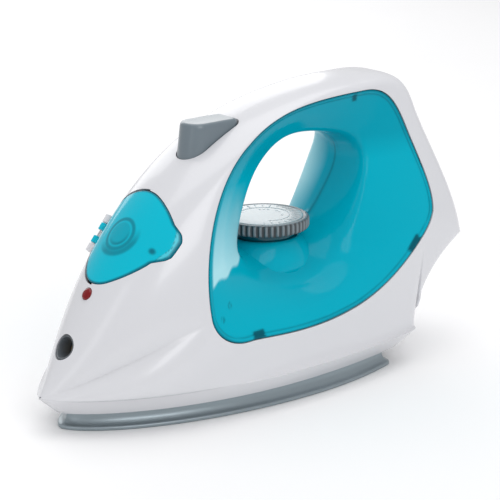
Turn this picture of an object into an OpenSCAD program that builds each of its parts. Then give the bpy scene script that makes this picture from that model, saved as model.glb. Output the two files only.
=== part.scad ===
// Compact steam iron: +X runs from nose to heel, +Z up, origin on the ironing
// face under the middle of the bounding box. Millimetres.

/* [Housing] */
// Skin thickness of the white housing halves
wall = 2.2; // [1.8:0.1:2.4]
// Skin thickness of the clear side windows
window_wall = 2; // [1.6:0.1:2.2]
// Gap between each side window and the housing round it
window_gap = 0.3; // [0.2:0.05:0.5]

/* [Soleplate] */
// Width of the ironing face at its widest point
sole_w = 86; // [82:1:90]
// Thickness of the sharp lip round the ironing face
lip_t = 1.8; // [1.2:0.2:2.4]
// Diameter of each steam hole
steam_hole_d = 3.2; // [2.4:0.2:4]

/* [Dial] */
// Diameter of the temperature dial
dial_d = 44.4; // [40:0.4:46]
// Thickness of the knurled rim
dial_rim = 6; // [4.5:0.5:6]
// Number of grip grooves round the rim
dial_grooves = 48; // [32:4:56]

/* [Button] */
// Width of the spray button
button_w = 17; // [14:0.2:18]
// Height of the button top above the ironing face
button_top = 133; // [132:0.5:135]
// Turns in the return spring
spring_turns = 5; // [4:1:6]

/* [Fittings] */
// Outer diameter of the spray nozzle
nozzle_d = 12; // [10:0.5:12.5]
// Diameter of the warning lamp lens
lens_d = 6; // [5:0.2:6.4]
// Bore of the filler neck
filler_bore = 12.8; // [11:0.2:13]
// Bore of the cord inlet
cord_bore = 7.8; // [6.4:0.2:8]

/* [Hidden] */
$fn = 64;
seam = 0.1;
nose_x = -121;
keel_x = 87;
rim_v = 0.93;
housing_bottom = 8.4;
sole_top = 8;
dial_x = 13.2;
dial_top = 80.5;
pump_x = -26.2;
pump_top = 104;
button_front = -38;
button_rear = -8;
button_base = 114;
neck_u = 26;
hinge_y = 25.2;
hinge_n = -8.6;
hinge_r = 2.3;
pin_r = 1.1;
gland_z = 100;

// Side outline of the housing: front ridge, top, rear corner, rear, heel, bottom
side = [
  [[-121, 17], [-103, 43], [-82, 92], [-38, 116.5]],
  [[-38, 116.5], [-12, 132.6], [20, 145.4], [62, 145]],
  [[62, 145], [90, 144.7], [93.5, 142.5], [97.5, 126]],
  [[97.5, 126], [106.5, 103], [122, 80], [125, 56]],
  [[125, 56], [113, 50], [96, 40], [87, 17]],
  [[87, 17], [17, 17], [-53, 17], [-121, 17]],
];
// Outline of the window in each side, matched to the segments above
rim = [
  [[-51.5, 50], [-52.5, 72], [-42, 108], [-14, 124]],
  [[-14, 124], [6, 137], [30, 138.5], [62, 138.6]],
  [[62, 138.6], [77, 138.6], [82, 132], [87, 119]],
  [[87, 119], [93, 102], [103, 84], [99.5, 73]],
  [[99.5, 73], [97.5, 69], [95, 66.5], [91, 63.5]],
  [[91, 63.5], [40, 26], [-10, 36], [-30, 36]],
  [[-30, 36], [-43, 35], [-51, 42], [-51.5, 50]],
];
// Crease where the window dish turns into the handle opening
crease = [
  [-18, -18, 71], [-14.5, -16, 87], [-2, -13, 109], [18, -11.5, 121.5], [45, -12, 120],
  [58.5, -15.5, 116.5], [61.5, -18.5, 108.5], [59.5, -21.5, 99.4], [55.5, -23.5, 87], [50, -24.5, 74],
  [42, -24.5, 62.5], [22, -23.5, 52.5], [-6, -21.5, 57], [-14, -19.5, 64.5],
];
// Seam of the two windows on the middle plane
throat = [
  [-16.5, 0, 75], [-13.5, 0, 88], [-1, 0, 108], [18, 0, 120], [46.5, 0, 117.6],
  [56, 0, 113.2], [60, 0, 107.5], [59, 0, 98.4], [52.5, 0, 88.5], [46, 0, 80],
  [39, 0, 74], [24, 0, 71], [-6, 0, 70], [-14, 0, 71.5],
];
seg_n = [16, 14, 6, 9, 7, 22];
fullness = [[1.9, 2], [2, 2.1], [2.1, 4.8], [4.8, 7], [7, 7], [3.2, 1.9]];
bottom_split = 0.72;
skin_rows = 9;

// Half outline of the filler cover: distance up the ridge, distance from the middle
cover_half = [
  [0, 0], [1.6, 6.5], [7, 13], [14, 18.3], [21, 21.6], [30, 23],
  [38, 22.6], [43, 18.5], [47, 12.5], [49.6, 6], [50.4, 0],
];

function bez(c, t) =
  pow(1 - t, 3) * c[0] + 3 * pow(1 - t, 2) * t * c[1]
  + 3 * (1 - t) * t * t * c[2] + pow(t, 3) * c[3];

function spline(a, b, c, d, f) =
  0.5 * (2 * b + (c - a) * f + (2 * a - 5 * b + 4 * c - d) * f * f
  + (3 * b - a - 3 * c + d) * pow(f, 3));

function ring_at(pts, g) =
  let (n = len(pts), i = floor(g), f = g - i)
  spline(pts[(i + n - 1) % n], pts[i % n], pts[(i + 1) % n], pts[(i + 2) % n], f);

function unit(v) = v / max(norm(v), 1e-6);

// Half width of the housing at its widest line, along X
function keel_half(x) =
  let (
    front = 47.5 * pow(1 - pow(1 - min(max((x - nose_x) / 127, 0), 1), 2), 0.7),
    rear = 47.5 - 9.5 * pow(min(max((x - 6) / 79.5, 0), 1), 2),
    corner = min(max((x - keel_x + 9.5) / 9.5, 0), 1)
  )
  (x < 6 ? front : rear) * pow(1 - pow(corner, 3), 1 / 3);

// Half width of the housing at the window outline
function rim_half(c) =
  (48 - 0.235 * (c[1] - 14)) * (1 - 0.13 * pow(min(max((c[0] - 40) / 70, 0), 1), 1.5));

function rim_at(k, t) =
  k < 5 ? bez(rim[k], t)
  : t < bottom_split ? bez(rim[5], t / bottom_split)
  : bez(rim[6], (t - bottom_split) / (1 - bottom_split));

function loop_at(k, t) =
  k < 5 ? 2 * (k + t)
  : t < bottom_split ? 10 + 2 * t / bottom_split
  : 12 + 2 * (t - bottom_split) / (1 - bottom_split);

// One spoke from the side outline to the window outline
spokes = [
  for (k = [0:5], i = [0:seg_n[k] - 1])
    let (
      t = k == 5 ? pow(i / seg_n[k], 1.35) : i / seg_n[k],
      s = bez(side[k], t),
      sharp = k == 0 ? max(1 - t / 0.5, 0) : k == 5 ? max((t - 0.6) / 0.4, 0) : 0,
      full = fullness[k][0] + (fullness[k][1] - fullness[k][0]) * t - 0.65 * pow(sharp, 1.5)
    )
    [s, rim_at(k, t), full, k == 5 ? keel_half(s[0]) : 0, loop_at(k, t), k == 5 || k + i == 0],
];

function lift(q, p) = pow(1 - pow(1 - q, p), 1 / p);

function skin_pt(sp, v, mid) =
  let (
    f = lift(v * rim_v, sp[2]) / lift(rim_v, sp[2]),
    xz = sp[0] + (sp[1] - sp[0]) * v,
    y = sp[3] + (rim_half(sp[1]) - sp[3]) * f
  )
  [xz[0], -max(y, mid), xz[1]];

function skin_row(j) = pow(j / skin_rows, 1.6);

// Lower edge of the housing, drawn in below the widest line
function keel_edge(sp, mid) =
  [-111.5 + (sp[0][0] - nose_x) * 188.7 / 208, -max(sp[3] * 0.87, mid), housing_bottom];

function skin_grid(mid) = [
  for (sp = spokes)
    concat(
      [sp[5] ? keel_edge(sp, mid) : skin_pt(sp, 0, mid)],
      [skin_pt(sp, sp[5] ? 0 : skin_row(1) * 0.35, mid)],
      [for (j = [1:skin_rows]) skin_pt(sp, skin_row(j), mid)]
    ),
];

function dish_rows(sp) =
  let (
    c = sp[1],
    toward = ring_at(crease, sp[4]),
    aim = unit([toward[0] - c[0], 0, toward[2] - c[1]]),
    a = [c[0], 0.3 - rim_half(c), c[1]] + window_gap * aim,
    b = toward,
    m0 = 0.45 * a + 0.55 * b,
    m = [m0[0], 0.72 * a[1] + 0.28 * b[1], m0[2]],
    d0 = ring_at(throat, sp[4]),
    d = [d0[0], -seam, d0[2]]
  )
  concat(
    [for (v = [0:0.2:1]) pow(1 - v, 2) * a + 2 * v * (1 - v) * m + v * v * b],
    [
      for (v = [0.35, 0.7, 1])
        let (e = pow(v, 0.6))
        [b[0] + (d[0] - b[0]) * e, b[1] + (d[1] - b[1]) * v, b[2] + (d[2] - b[2]) * e],
    ]
  );

dish_grid = [for (sp = spokes) dish_rows(sp)];

// Outward normal of a grid that closes on itself in its first index
function grid_normal(g, i, j) =
  let (n = len(g), m = len(g[0]) - 1)
  unit(cross(g[i][min(j + 1, m)] - g[i][max(j - 1, 0)], g[(i + 1) % n][j] - g[(i + n - 1) % n][j]));

// Grid moved inward by d; edge rows stay in their own plane
function skin_offset(g, d, mid) = [
  for (i = [0:len(g) - 1]) [
    for (j = [0:len(g[0]) - 1])
      let (
        n = grid_normal(g, i, j),
        lean = min((len(g[0]) - 1 - j) / 3, 1),
        e = j > 0 ? unit([n[0] * lean, n[1] - 0.01, n[2] * lean])
          : spokes[i][5] ? unit([n[0], n[1], 0])
          : unit([n[0], 0, n[2]]),
        q = g[i][j] - d * e
      )
      [q[0], min(q[1], -mid), q[2]],
  ],
];

function dish_offset(g, d) = [
  for (i = [0:len(g) - 1]) [
    for (j = [0:len(g[0]) - 1])
      let (
        n = grid_normal(g, i, j),
        lean = min(j / 4, 1),
        e = j == len(g[0]) - 1 ? unit([n[0], 0, n[2]])
          : unit([n[0] * lean, j == 0 ? -1 : n[1], n[2] * lean]),
        q = g[i][j] - d * e
      )
      [q[0], min(q[1], -seam), q[2]],
  ],
];

// Closed band between an outer and an inner grid
module band(outer, inner) {
  n = len(outer);
  w = len(outer[0]);
  m = 2 * w;
  pts = [
    for (i = [0:n - 1]) each concat(outer[i], [for (j = [w - 1:-1:0]) inner[i][j]])
  ];
  tris = [
    for (i = [0:n - 1], j = [0:m - 1])
      let (a = i * m + j, b = ((i + 1) % n) * m + j, k = (j + 1) % m)
      each [[a, b, b - j + k], [a, b - j + k, a - j + k]]
  ];
  polyhedron(points = pts, faces = tris);
}

module skin(out, deep, mid) {
  g = skin_grid(mid);
  band(out == 0 ? g : skin_offset(g, out, mid), skin_offset(g, deep, mid));
}

// Piece of the skin across the front or rear ridge, between two spokes
module patch(i0, i1, out, deep) {
  g = skin_grid(0);
  o = out == 0 ? g : skin_offset(g, out, 0);
  q = skin_offset(g, deep, 0);
  w = skin_rows + 1;
  across = function (r) concat([for (j = [w:-1:1]) r[j]], [[r[0][0], 0, r[0][2]]],
    [for (j = [1:w]) [r[j][0], -r[j][1], r[j][2]]]);
  c = 2 * w + 1;
  m = 2 * c;
  n = i1 - i0;
  pts = [for (i = [i0:i1]) each concat(across(o[i]), [for (k = [c - 1:-1:0]) across(q[i])[k]])];
  walls = [
    for (i = [0:n - 1], j = [0:m - 1])
      let (a = i * m + j, k = i * m + (j + 1) % m)
      each [[a, k, k + m], [a, k + m, a + m]]
  ];
  ends = [
    for (j = [0:c - 2], e = [0, n])
      let (a = e * m + j, b = e * m + m - 1 - j, u = [a, a + 1, b - 1], v = [a, b - 1, b])
      each (e == 0 ? [[u[2], u[1], u[0]], [v[2], v[1], v[0]]] : [u, v])
  ];
  polyhedron(points = pts, faces = concat(walls, ends));
}

module both_sides() {
  children();
  mirror([0, 1, 0]) children();
}

// Local frame on the front ridge: X up the slope, Z straight out of the ridge
module on_ridge() translate([-89.5, 0, 66]) rotate([0, -50.2, 0]) children();

module nozzle_frame() translate([-105.6, 0, 38.5]) rotate([0, -70, 0]) children();

function cover_curve(k) =
  let (n = len(cover_half) - 1)
  [
    for (i = [0:n - 1], f = [0:0.25:0.75])
      let (
        a = cover_half[max(i - 1, 0)],
        p = spline(i == 0 ? [1.6, -6.5] : a, cover_half[i], cover_half[i + 1],
          i == n - 1 ? [49.6, -6] : cover_half[min(i + 2, n)], f)
      )
      [27 + (p[0] - 27) * k, k * p[1]]
  ];

module cover_plan(grow, tab) {
  half = cover_curve(1 + grow / 23);
  polygon(concat(half, [for (i = [len(half) - 1:-1:1]) [half[i][0], -half[i][1]]]));
  if (tab)
    translate([29.5, -20])
      polygon([[-8 - grow, 0], [-6.5 - grow, -4.2], [-4.5, -6 - grow], [5, -6 - grow],
        [7.5 + grow, -4], [8.5 + grow, 0]]);
}

module button_plan(grow) {
  hull() {
    translate([button_front + button_w / 2, 0]) circle(button_w / 2 + grow);
    for (side = [-1, 1]) translate([button_rear - 4, side * (button_w / 2 - 4)]) circle(4 + grow);
  }
}

module hinge_barrel(u0, u1, r)
  on_ridge() translate([u0, hinge_y, hinge_n]) rotate([0, 90, 0]) cylinder(h = u1 - u0, r = r);

module tube(h, r1, r2) {
  difference() {
    cylinder(h = h, r = r1);
    translate([0, 0, -1]) cylinder(h = h + 2, r = r2);
  }
}

// Straight round bar between two points
module rod(a, b, r) {
  v = b - a;
  translate(a) rotate([0, acos(v[2] / norm(v)), atan2(v[1], v[0])]) cylinder(h = norm(v), r = r, $fn = 24);
}

function sole_half(x) =
  x < 12
    ? sole_w / 2 * pow(1 - pow(1 - max((x + 110) / 122, 0), 2), 0.65)
    : sole_w / 2 - 9 * pow((x - 12) / 58, 2);

module sole_plan(inset) {
  x0 = -110 + inset * 1.6;
  x1 = 70 - inset;
  n = 30;
  pts = [
    for (i = [0:n])
      let (x = x0 + (x1 - x0) * pow(i / n, 1.5))
      [x, max(sole_half(x) - inset, 0.8 * pow(i / n, 0.4) + 0.2)]
  ];
  polygon(concat(pts, [for (i = [n:-1:0]) [pts[i][0], -pts[i][1]]]));
}

module plate_plan(inset) {
  x0 = nose_x + 12 + inset;
  x1 = keel_x - 5 - inset;
  n = 24;
  pts = [
    for (i = [0:n])
      let (x = x0 + (x1 - x0) * pow(i / n, 1.3))
      [x, max(keel_half(x) - inset - 4 * pow(1 - i / n, 2), 1)]
  ];
  polygon(concat(pts, [for (i = [n:-1:0]) [pts[i][0], -pts[i][1]]]));
}

screw_posts = [[-78, 0], [52, 31], [52, -31]];

module soleplate() {
  color([0.44, 0.49, 0.52])
  difference() {
    union() {
      linear_extrude(lip_t) sole_plan(0);
      linear_extrude(sole_top) sole_plan(4);
      for (p = screw_posts) translate([p[0], p[1], 0]) cylinder(h = 14.8, r = 3.6);
    }
    for (x = [-92:13:-14], s = [-1, 1])
      translate([x, s * max(sole_half(x) - 11, 3), -1]) cylinder(h = 6, d = steam_hole_d);
    for (x = [-46:16:-14], s = [-1, 1])
      translate([x, s * 7, -1]) cylinder(h = 12, d = steam_hole_d);
    for (p = screw_posts) translate([p[0], p[1], 6]) cylinder(h = 12, r = 1.35);
  }
}

module heating_element() {
  color([0.5, 0.5, 0.52]) {
    translate([-40, 0, 11.4]) rotate([0, 0, 90])
      rotate_extrude(angle = 180) translate([20, 0]) circle(3.1, $fn = 32);
    for (s = [-1, 1]) {
      translate([-40, s * 20, 11.4]) rotate([0, 90, 0]) cylinder(h = 100, r = 3.1, $fn = 32);
      translate([60, s * 20, 11.4]) rotate([0, 90, 0]) cylinder(h = 8, r = 1.2);
    }
  }
}

module chamber_plan(r) {
  translate([-40, 0]) circle(r);
  translate([-40, -r]) square([28 + r, 2 * r]);
}

module steam_chamber_cover() {
  color([0.72, 0.73, 0.74])
  difference() {
    translate([0, 0, sole_top + 0.1]) linear_extrude(5.5) chamber_plan(14);
    translate([0, 0, sole_top]) linear_extrude(4) chamber_plan(12.2);
    translate([-36, 0, 8]) cylinder(h = 8, r = 2);
  }
}

module chamber_seal() {
  color([0.15, 0.15, 0.16])
  translate([-36, 0, 14.6]) rotate_extrude() translate([3, 0]) circle(0.9, $fn = 24);
}

module drip_valve() {
  color([0.85, 0.85, 0.82])
  translate([-36, 0, 15.7]) tube(5, 3.6, 1.4);
}

module thermostat_body() {
  color([0.86, 0.84, 0.78]) {
    difference() {
      translate([dial_x, 0, sole_top + 0.1]) cylinder(h = 11.6, r = 10);
      translate([dial_x, 0, 12]) cylinder(h = 12, r = 3.1);
    }
    for (s = [-1, 1]) translate([dial_x + 9, s * 4 - 1.5, 10]) cube([9, 3, 1.2]);
  }
}

module thermostat_shaft() {
  color([0.7, 0.71, 0.72])
  translate([dial_x, 0, 12.2]) cylinder(h = 65.8, r = 2.99);
}

module dial_clip() {
  color([0.55, 0.56, 0.58])
  difference() {
    translate([dial_x, 0, 50]) cylinder(h = 1.4, r = 5.4);
    translate([dial_x, 0, 49]) cylinder(h = 4, r = 3);
    translate([dial_x + 2, -1.8, 49]) cube([5, 3.6, 4]);
  }
}

module temperature_dial() {
  color([0.55, 0.6, 0.63])
  difference() {
    union() {
      translate([dial_x, 0, dial_top - dial_rim]) cylinder(h = dial_rim, d = dial_d);
      translate([dial_x, 0, 62]) cylinder(h = 14, r = 7.6);
    }
    for (a = [0:360 / dial_grooves:359])
      translate([dial_x, 0, 0]) rotate(a)
        translate([dial_d / 2 + 0.2, 0, dial_top - dial_rim - 1]) cylinder(h = dial_rim, r = 0.7, $fn = 16);
    translate([dial_x, 0, 60]) cylinder(h = 18.1, r = 3);
  }
}

module dial_base() {
  color([0, 0.45, 0.52])
  difference() {
    translate([dial_x, 0, 56]) cylinder(h = dial_top - dial_rim - 56.5, r = 15.8);
    translate([dial_x, 0, 58]) cylinder(h = 20, r = 8);
    translate([dial_x, 0, 50]) cylinder(h = 20, r = 3.4);
  }
}

module chassis() {
  color([0.3, 0.32, 0.34])
  difference() {
    translate([0, 0, 15]) linear_extrude(2.4) plate_plan(5.8);
    translate([dial_x, 0, 10]) cylinder(h = 12, r = 11);
    translate([-36, 0, 10]) cylinder(h = 12, r = 4.6);
    for (p = screw_posts) translate([p[0], p[1], 10]) cylinder(h = 12, r = 1.6);
    for (s = [-1, 1]) translate([66, s * 20, 10]) cylinder(h = 12, r = 4);
  }
}

module chassis_screws() {
  color([0.62, 0.63, 0.65])
  for (p = screw_posts)
    translate([p[0], p[1], 0]) {
      translate([0, 0, 7]) cylinder(h = 10.6, r = 1.3);
      difference() {
        translate([0, 0, 17.5]) cylinder(h = 2.2, r = 2.9);
        for (a = [0, 90]) translate([0, 0, 19.2]) rotate(a) cube([3.6, 0.7, 1.4], center = true);
      }
    }
}

tank_front = -72;
module tank_shape(inset) {
  translate([tank_front + inset, -19 + inset, 21.5 + inset])
    cube([130 - 2 * inset, 38 - 2 * inset, 20 - 2 * inset]);
  translate([tank_front + 6 + inset, -5.5 + inset, 30])
    cube([30 - 2 * inset, 11 - 2 * inset, 32 - inset]);
}

module water_tank() {
  color([0.75, 0.9, 0.94])
  difference() {
    union() {
      difference() {
        tank_shape(0);
        tank_shape(1.8);
      }
      translate([dial_x, 0, 21.5]) cylinder(h = 20, r = 6.4);
    }
    translate([dial_x, 0, 10]) cylinder(h = 50, r = 4.4);
    translate([-36, 0, 20]) cylinder(h = 4, r = 1.6);
    translate([pump_x, 0, 36]) cylinder(h = 10, r = 1.9);
    translate([-56, 0, 56]) cylinder(h = 10, r = 3.6);
  }
}

module filler_tray() {
  color([0.9, 0.9, 0.92])
  on_ridge() {
    translate([0, 0, -9]) linear_extrude(1.6) difference() {
      cover_plan(-5, false);
      translate([neck_u, 0]) circle(d = filler_bore + 1);
    }
    translate([neck_u, 0, -18]) tube(14, filler_bore / 2 + 1.6, filler_bore / 2);
  }
}

module filler_seal() {
  color([0.85, 0.87, 0.88])
  on_ridge() translate([neck_u, 0, -3.45])
    rotate_extrude() translate([filler_bore / 2 + 0.8, 0]) circle(0.5, $fn = 24);
}

module filler_cover() {
  color([0, 0.71, 0.79])
  difference() {
    union() {
      intersection() {
        patch(3, 18, 0, 2);
        on_ridge() translate([0, 0, -30]) linear_extrude(40) cover_plan(0, true);
      }
      for (u = [19.7, 26.7]) {
        hinge_barrel(u, u + 3.6, hinge_r);
        on_ridge() translate([u, 20.6, -8.7]) cube([3.6, 4.6, 1.8]);
      }
    }
    hinge_barrel(8, 48, pin_r + 0.06);
    for (u = [14.7, 30.5]) hinge_barrel(u, u + 4.8, hinge_r + 0.3);
  }
}

module filler_hinge_pin() {
  color([0.7, 0.71, 0.72])
  hinge_barrel(15.1, 34.9, pin_r);
}

module shell_openings(flap_gap) {
  on_ridge() translate([0, 0, -20]) linear_extrude(30) cover_plan(flap_gap, true);
  on_ridge() translate([-5.6, 0, -8]) cylinder(h = 12, d = lens_d + 0.3);
  nozzle_frame() translate([0, 0, -12]) cylinder(h = 24, d = nozzle_d + 0.4);
  translate([0, 0, 108]) linear_extrude(40) button_plan(0.4);
  translate([84, -15.4, 66.6]) cube([50, 30.8, 50.8]);
}

module housing_left() {
  color([0.93, 0.93, 0.94])
  difference() {
    skin(0, wall, seam);
    shell_openings(0.4);
  }
}

module housing_right() {
  color([0.93, 0.93, 0.94])
  difference() {
    union() {
      difference() {
        mirror([0, 1, 0]) skin(0, wall, seam);
        shell_openings(1);
        hinge_barrel(19.3, 30.7, hinge_r + 0.4);
        on_ridge() translate([19.3, 20.4, -12]) cube([11.4, 5.6, 8]);
      }
      hinge_barrel(15.1, 19.3, hinge_r);
      hinge_barrel(30.7, 34.9, hinge_r);
    }
    hinge_barrel(10, 50, pin_r);
  }
}

module window_cut() translate([dial_x, 0, 50]) cylinder(h = 24, r = 16.2);

module side_window_left() {
  color([0, 0.71, 0.79, 0.8])
  difference() {
    band(dish_grid, dish_offset(dish_grid, window_wall));
    window_cut();
  }
}

module side_window_right() {
  color([0, 0.71, 0.79, 0.8])
  difference() {
    mirror([0, 1, 0]) band(dish_grid, dish_offset(dish_grid, window_wall));
    window_cut();
  }
}

module nozzle_body() {
  color([0.4, 0.43, 0.46])
  nozzle_frame() translate([0, 0, -14]) tube(11.2, nozzle_d / 2, nozzle_d / 2 - 2.2);
}

module nozzle_tip() {
  color([0.72, 0.58, 0.3])
  nozzle_frame() translate([0, 0, -14]) tube(8, nozzle_d / 2 - 2.3, 0.5);
}

module indicator_lens() {
  color([0.48, 0.05, 0.07])
  on_ridge() translate([-5.6, 0, 0]) {
    translate([0, 0, -5]) cylinder(h = 4.6, d = lens_d);
    intersection() {
      translate([0, 0, -0.4]) cylinder(h = 4, d = lens_d);
      translate([0, 0, -3.4]) sphere(r = 4.2);
    }
  }
}

module neon_lamp() {
  color([0.9, 0.8, 0.7])
  on_ridge() translate([-5.6, 0, -15]) {
    cylinder(h = 9.6, r = 2);
    for (s = [-1, 1]) translate([0, s, -5]) cylinder(h = 5.4, r = 0.4);
  }
}

module steam_button() {
  color([0.42, 0.46, 0.5])
  difference() {
    translate([0, 0, button_base]) linear_extrude(button_top - button_base) button_plan(0);
    translate([0, 0, button_base - 1]) linear_extrude(14) intersection() {
      button_plan(-1.8);
      translate([-40, -12]) square([24, 24]);
    }
  }
}

module pump_piston() {
  color([0.9, 0.9, 0.9]) {
    translate([pump_x, 0, 96]) cylinder(h = 3, r = 4.4);
    translate([pump_x, 0, 98]) cylinder(h = 28.9, r = 1.8);
  }
}

module pump_body() {
  color([0.8, 0.82, 0.84])
  difference() {
    translate([pump_x, 0, 84]) cylinder(h = pump_top - 84, r = 7);
    translate([pump_x, 0, 86]) cylinder(h = pump_top, r = 4.5);
    translate([pump_x, 0, 80]) cylinder(h = 10, r = 1.2);
    translate([pump_x, 0, 89]) rotate([-90, 0, 0]) cylinder(h = 10, r = 1);
  }
}

// Return spring as a round wire swept along a helix
module button_spring() {
  steps = spring_turns * 16;
  sides = 8;
  z0 = pump_top + 0.8;
  z1 = 126.2;
  pts = [
    for (i = [0:steps], k = [0:sides - 1])
      let (a = 360 * i / 16, b = 360 * k / sides, r = 5 + 0.5 * cos(b))
      [pump_x + r * cos(a), r * sin(a), z0 + (z1 - z0) * i / steps + 0.5 * sin(b)]
  ];
  walls = [
    for (i = [0:steps - 1], k = [0:sides - 1])
      let (a = i * sides + k, b = i * sides + (k + 1) % sides)
      each [[a, b, b + sides], [a, b + sides, a + sides]]
  ];
  ends = [[for (k = [sides - 1:-1:0]) k], [for (k = [0:sides - 1]) steps * sides + k]];
  color([0.7, 0.71, 0.73]) polyhedron(points = pts, faces = concat(walls, ends));
}

module spray_tube() {
  color([0.92, 0.92, 0.9])
  rod([pump_x, 14, 90], [-90.2, 3, 33], 1.6);
}

module suction_tube() {
  color([0.92, 0.92, 0.9])
  translate([pump_x, 0, 26]) tube(57.8, 1.6, 0.9);
}

module window_clips() {
  color([0.05, 0.3, 0.36])
  both_sides() {
    translate([-12, -33.8, 38.6]) cube([14, 2.4, 3.2]);
    translate([85, -24, 70.4]) cube([3.2, 2.4, 8]);
    translate([78, -16.9, 112]) cube([3.2, 2.4, 7]);
    translate([34, -14.8, 133.2]) cube([10, 2.4, 2.4]);
  }
}

module rear_cover() {
  color([0.9, 0.9, 0.91])
  difference() {
    intersection() {
      patch(34, 47, 0, wall);
      translate([84, -15, 67]) cube([50, 30, 50]);
    }
    translate([90, 0, gland_z]) rotate([0, 90, 0]) cylinder(h = 40, r = 6.2);
    translate([90, 0, 76]) rotate([0, 72, 0]) cylinder(h = 40, r = 1.7);
  }
}

module rear_cover_screw() {
  color([0.62, 0.63, 0.65])
  translate([90, 0, 76]) rotate([0, 72, 0]) {
    translate([0, 0, 8]) cylinder(h = 21, r = 1.5);
    translate([0, 0, 28.15]) cylinder(h = 1.8, r = 2.8);
  }
}

module cord_inlet() {
  color([0.2, 0.21, 0.22])
  translate([0, 0, gland_z]) rotate([0, 90, 0]) difference() {
    union() {
      translate([0, 0, 96]) cylinder(h = 3, r = 9);
      translate([0, 0, 98]) cylinder(h = 12, r = 6);
      translate([0, 0, 109.9]) cylinder(h = 10, r1 = 6, r2 = 5.2);
    }
    translate([0, 0, 90]) cylinder(h = 40, d = cord_bore);
  }
}

module terminal_block() {
  color([0.88, 0.87, 0.82])
  difference() {
    translate([71, -9, 86]) cube([13, 18, 12]);
    for (y = [-6, 0, 6]) translate([70, y, 92]) rotate([0, 90, 0]) cylinder(h = 16, r = 1.8);
    for (y = [-6, 0, 6]) translate([77.5, y, 90]) cylinder(h = 10, r = 1.6);
  }
}

module thermal_fuse() {
  color([0.8, 0.72, 0.5]) {
    translate([34, 0, 11.4]) rotate([0, 90, 0]) cylinder(h = 15, r = 2.6);
    translate([49, 0, 11.4]) rotate([0, 90, 0]) cylinder(h = 8, r = 0.6);
    translate([26, 0, 11.4]) rotate([0, 90, 0]) cylinder(h = 8, r = 0.6);
  }
}

module supply_wires() {
  color([0.8, 0.8, 0.78])
  for (s = [-1, 1])
    rod([66, s * 7, 85.6], [66, s * 20, 13], 1.3);
}

soleplate();
heating_element();
steam_chamber_cover();
chamber_seal();
drip_valve();
thermostat_body();
thermostat_shaft();
dial_clip();
temperature_dial();
dial_base();
chassis();
chassis_screws();
water_tank();
filler_tray();
filler_seal();
filler_cover();
filler_hinge_pin();
housing_left();
housing_right();
side_window_left();
side_window_right();
nozzle_body();
nozzle_tip();
indicator_lens();
neon_lamp();
steam_button();
pump_piston();
pump_body();
button_spring();
spray_tube();
suction_tube();
window_clips();
rear_cover();
rear_cover_screw();
cord_inlet();
terminal_block();
thermal_fuse();
supply_wires();
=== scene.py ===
import math

import bmesh
import bpy
import numpy as np
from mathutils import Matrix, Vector
from mathutils.bvhtree import BVHTree


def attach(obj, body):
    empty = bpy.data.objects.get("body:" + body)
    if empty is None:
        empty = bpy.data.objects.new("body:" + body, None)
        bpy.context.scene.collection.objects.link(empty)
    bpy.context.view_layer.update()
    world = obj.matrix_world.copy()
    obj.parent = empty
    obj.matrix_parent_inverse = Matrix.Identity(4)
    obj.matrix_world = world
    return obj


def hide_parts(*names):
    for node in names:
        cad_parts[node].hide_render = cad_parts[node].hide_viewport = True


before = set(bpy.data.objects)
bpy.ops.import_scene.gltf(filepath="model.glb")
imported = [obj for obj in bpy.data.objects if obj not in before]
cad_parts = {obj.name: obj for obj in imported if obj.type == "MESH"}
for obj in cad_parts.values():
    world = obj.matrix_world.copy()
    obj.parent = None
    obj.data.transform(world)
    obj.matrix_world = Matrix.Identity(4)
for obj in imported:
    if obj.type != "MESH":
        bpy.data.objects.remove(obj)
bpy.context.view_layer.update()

# --- Soleplate -------------------------------------------------------------
# Die-cast aluminium plate with a blue-grey non-stick coat. A thin lip runs
# round the face, a concave flare rises to the neck that carries the body, and
# the steam holes are drilled through the face.

MM = 0.001
SOLE_HALF = 43.0


def make_piece(name, points, faces, body, slot=None, smooth=True):
    mesh = bpy.data.meshes.new(name)
    mesh.from_pydata([tuple(p) for p in np.asarray(points, float) * MM], [], [tuple(f) for f in faces])
    mesh.validate()
    mesh.shade_smooth() if smooth else mesh.shade_flat()
    piece = bpy.data.objects.new(name, mesh)
    bpy.context.scene.collection.objects.link(piece)
    if body:
        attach(piece, body)
    return piece


def skin_faces(rings, points):
    faces = []
    for i in range(rings - 1):
        for j in range(points):
            a, b = i * points + j, i * points + (j + 1) % points
            faces.append((a, b, b + points, a + points))
    return faces


def stack(rings, bottom=True, top=True):
    """Rings of points from the bottom up, counter-clockwise seen from above."""
    rings = np.asarray(rings, float)
    n, m = rings.shape[:2]
    faces = skin_faces(n, m)
    if bottom:
        faces.append(tuple(range(m - 1, -1, -1)))
    if top:
        faces.append(tuple((n - 1) * m + j for j in range(m)))
    return rings.reshape(-1, 3), faces


def even_outline(points, count):
    points = np.vstack([points, points[:1]])
    run = np.r_[0, np.cumsum(np.linalg.norm(np.diff(points, axis=0), axis=1))]
    at = np.linspace(0, run[-1], count, endpoint=False)
    return np.c_[np.interp(at, run, points[:, 0]), np.interp(at, run, points[:, 1])]


def drawn_in(outline, inset):
    along = np.roll(outline, -1, 0) - np.roll(outline, 1, 0)
    along /= np.linalg.norm(along, axis=1)[:, None]
    return outline + inset * np.c_[-along[:, 1], along[:, 0]]


def cut_away(piece, cutters):
    """Takes the cutters' volume out of the piece and removes the cutters."""
    for cutter in cutters:
        step = piece.modifiers.new("cut", "BOOLEAN")
        step.operation = "DIFFERENCE"
        step.solver = "EXACT"
        step.object = cutter
        bpy.context.view_layer.update()
        graph = bpy.context.evaluated_depsgraph_get()
        cut = bpy.data.meshes.new_from_object(piece.evaluated_get(graph))
        piece.modifiers.clear()
        piece.data = cut
        bpy.data.objects.remove(cutter)


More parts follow.
